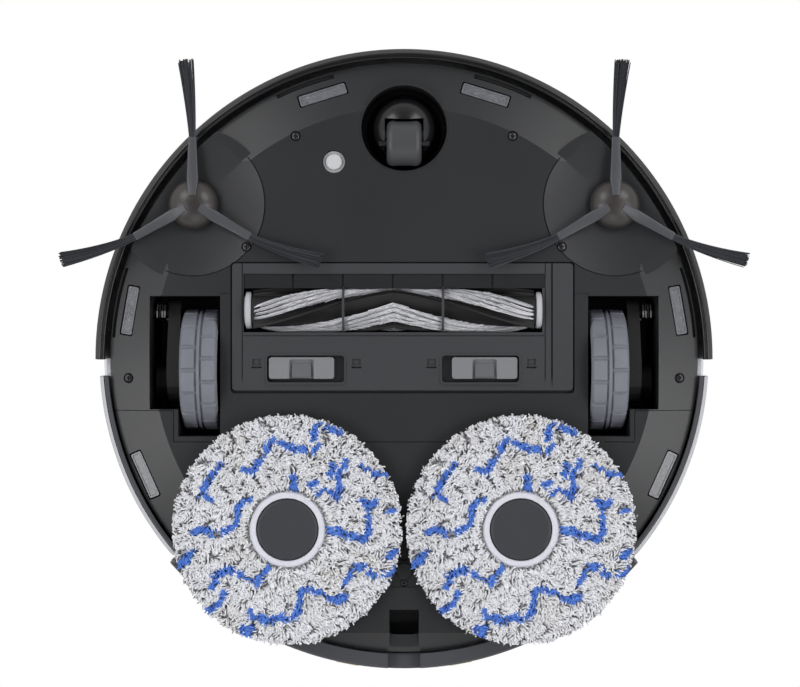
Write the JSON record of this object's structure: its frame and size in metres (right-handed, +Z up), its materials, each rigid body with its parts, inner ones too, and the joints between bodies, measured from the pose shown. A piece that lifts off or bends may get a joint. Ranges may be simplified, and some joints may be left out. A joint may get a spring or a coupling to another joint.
{
  "type": "robotic floor cleaner",
  "caption": "Round, low robotic floor cleaner: sprung bumper, drive wheels, side brushes, roller brush, spinning mop pads and laser turret.",
  "frame": {"origin": "on the floor under the middle of the round body", "axes": "+Z up, -Y towards the front bumper and caster, +X to the machine's side that holds the roller drive"},
  "size_m": [0.388, 0.362, 0.1035],
  "materials": {
    "underside_plastic": "fine textured charcoal",
    "shell_plastic": "satin dark grey",
    "pale_shell": "satin silver white",
    "gloss_black": "glossy",
    "grey_plastic": "satin grey",
    "dark_plastic": "satin dark",
    "smoked_window": "smoked and glossy",
    "tread_rubber": "matte grey",
    "blade_rubber": "matte black",
    "brush_nylon": "bristle",
    "white_bristle": "white bristle rows",
    "mop_fabric": "looped microfibre, white-grey with blue strokes",
    "filter_paper": "pleated",
    "steel": "satin",
    "contact_brass": "bright",
    "circuit_board": "green lacquer",
    "tank_plastic": "translucent grey"
  },
  "bodies": {
    "chassis": {"front_chassis": "underside_plastic", "rear_deck": "underside_plastic", "rear_shell": "shell_plastic", "top_shell": "pale_shell", "left_charging_contact": "contact_brass", "right_charging_contact": "contact_brass", "cliff_window_front_left": "smoked_window", "cliff_window_side_left": "smoked_window", "cliff_window_rear_left": "smoked_window", "cliff_window_front_right": "smoked_window", "cliff_window_side_right": "smoked_window", "cliff_window_rear_right": "smoked_window", "carpet_sensor": "steel", "battery_pack": "dark_plastic", "main_board": "circuit_board", "fan_housing": "dark_plastic", "brush_gearbox": "dark_plastic", "mop_gearbox": "dark_plastic", "left_side_brush_motor": "steel", "right_side_brush_motor": "steel", "turret_housing": "gloss_black", "brush_bearing_cap": "grey_plastic", "water_tank": "tank_plastic"},
    "bumper": {"bumper": "gloss_black", "bumper_window": "smoked_window"},
    "top_cover": {"top_cover": "pale_shell"},
    "dust_bin": {"dust_bin": "tank_plastic", "dust_filter": "filter_paper"},
    "start_button": {"start_button": "grey_plastic"},
    "turret": {"turret_rotor": "dark_plastic"},
    "caster": {"caster_fork": "gloss_black", "caster_axle": "steel"},
    "caster_wheel": {"caster_wheel": "grey_plastic"},
    "left_arm": {"left_drive_gearbox": "dark_plastic", "left_suspension_spring": "steel"},
    "right_arm": {"right_drive_gearbox": "dark_plastic", "right_suspension_spring": "steel"},
    "left_wheel": {"left_tyre": "tread_rubber", "left_wheel_hub": "dark_plastic"},
    "right_wheel": {"right_tyre": "tread_rubber", "right_wheel_hub": "dark_plastic"},
    "left_side_brush": {"left_side_brush_hub": "dark_plastic", "left_brush_tuft_front": "brush_nylon", "left_brush_tuft_right": "brush_nylon", "left_brush_tuft_left": "brush_nylon"},
    "right_side_brush": {"right_side_brush_hub": "dark_plastic", "right_brush_tuft_front": "brush_nylon", "right_brush_tuft_right": "brush_nylon", "right_brush_tuft_left": "brush_nylon"},
    "roller": {"main_brush_core": "white_bristle", "main_brush_blades": "blade_rubber", "brush_drive_cap": "grey_plastic"},
    "brush_cover": {"brush_cover": "shell_plastic"},
    "left_latch": {"left_cover_latch": "grey_plastic"},
    "right_latch": {"right_cover_latch": "grey_plastic"},
    "left_mop": {"left_mop_cloth": "mop_fabric", "left_mop_plate": "dark_plastic"},
    "right_mop": {"right_mop_cloth": "mop_fabric", "right_mop_plate": "dark_plastic"},
    "fan": {"fan_impeller": "grey_plastic"}
  },
  "joints": [
    {"name": "bumper_press", "type": "slide", "parent": "chassis", "child": "bumper", "axis": [0, 1, 0], "range_m": [0, 0.003], "stiffness_N_per_m": 800, "springref_m": -0.002},
    {"name": "caster_swivel", "type": "hinge", "parent": "chassis", "child": "caster", "pos_m": [0, -0.1313, 0.03], "axis": [0, 0, 1], "continuous": true},
    {"name": "caster_wheel_spin", "type": "hinge", "parent": "caster", "child": "caster_wheel", "pos_m": [0, -0.1226, 0.013], "axis": [1, 0, 0], "continuous": true},
    {"name": "left_suspension", "type": "hinge", "parent": "chassis", "child": "left_arm", "pos_m": [-0.137, -0.027, 0.034], "axis": [-1, 0, 0], "range_deg": [0, 16], "stiffness_Nm_per_rad": 0.1, "springref_deg": 68.75, "deforming": ["left_brush_tuft_front", "left_brush_tuft_right", "left_brush_tuft_left"]},
    {"name": "left_wheel_spin", "type": "hinge", "parent": "left_arm", "child": "left_wheel", "pos_m": [-0.117, 0.0069, 0.035], "axis": [1, 0, 0], "continuous": true},
    {"name": "right_suspension", "type": "hinge", "parent": "chassis", "child": "right_arm", "pos_m": [0.137, -0.027, 0.034], "axis": [-1, 0, 0], "range_deg": [0, 16], "stiffness_Nm_per_rad": 0.1, "springref_deg": 68.75, "deforming": ["right_brush_tuft_front", "right_brush_tuft_right", "right_brush_tuft_left"]},
    {"name": "right_wheel_spin", "type": "hinge", "parent": "right_arm", "child": "right_wheel", "pos_m": [0.117, 0.0069, 0.035], "axis": [1, 0, 0], "continuous": true},
    {"name": "left_side_brush_spin", "type": "hinge", "parent": "chassis", "child": "left_side_brush", "pos_m": [-0.1206, -0.0879, 0.012], "axis": [0, 0, 1], "continuous": true},
    {"name": "right_side_brush_spin", "type": "hinge", "parent": "chassis", "child": "right_side_brush", "pos_m": [0.1206, -0.0879, 0.012], "axis": [0, 0, 1], "continuous": true},
    {"name": "roller_spin", "type": "hinge", "parent": "chassis", "child": "roller", "pos_m": [-0.006, -0.0273, 0.016], "axis": [1, 0, 0], "continuous": true},
    {"name": "left_mop_spin", "type": "hinge", "parent": "chassis", "child": "left_mop", "pos_m": [-0.0663, 0.0974, 0.01], "axis": [0, 0, 1], "continuous": true},
    {"name": "right_mop_spin", "type": "hinge", "parent": "chassis", "child": "right_mop", "pos_m": [0.0663, 0.0974, 0.01], "axis": [0, 0, 1], "continuous": true},
    {"name": "brush_cover_release", "type": "hinge", "parent": "chassis", "child": "brush_cover", "pos_m": [0, -0.0539, 0.0105], "axis": [-1, 0, 0], "range_deg": [0, 45]},
    {"name": "left_latch_slide", "type": "slide", "parent": "brush_cover", "child": "left_latch", "axis": [1, 0, 0], "range_m": [0, 0.0048], "stiffness_N_per_m": 60, "springref_m": -0.002},
    {"name": "right_latch_slide", "type": "slide", "parent": "brush_cover", "child": "right_latch", "axis": [-1, 0, 0], "range_m": [0, 0.0048], "stiffness_N_per_m": 60, "springref_m": -0.002},
    {"name": "top_cover_lift", "type": "slide", "parent": "chassis", "child": "top_cover", "axis": [0, 0, 1], "range_m": [0, 0.12]},
    {"name": "dust_bin_lift", "type": "slide", "parent": "chassis", "child": "dust_bin", "axis": [0, 0, 1], "range_m": [0, 0.054]},
    {"name": "start_button_press", "type": "slide", "parent": "chassis", "child": "start_button", "axis": [0, 0, -1], "range_m": [0, 0.0012], "stiffness_N_per_m": 150, "springref_m": -0.003},
    {"name": "turret_spin", "type": "hinge", "parent": "chassis", "child": "turret", "pos_m": [0, 0.062, 0.088], "axis": [0, 0, 1], "continuous": true},
    {"name": "fan_spin", "type": "hinge", "parent": "chassis", "child": "fan", "pos_m": [-0.052, 0.045, 0.04], "axis": [0, 0, 1], "continuous": true}
  ],
  "couplings": [
    {"joint": "right_mop_spin", "follows": "left_mop_spin", "ratio": -1},
    {"joint": "dust_bin_lift", "follows": "top_cover_lift", "ratio": 0.45}
  ]
}
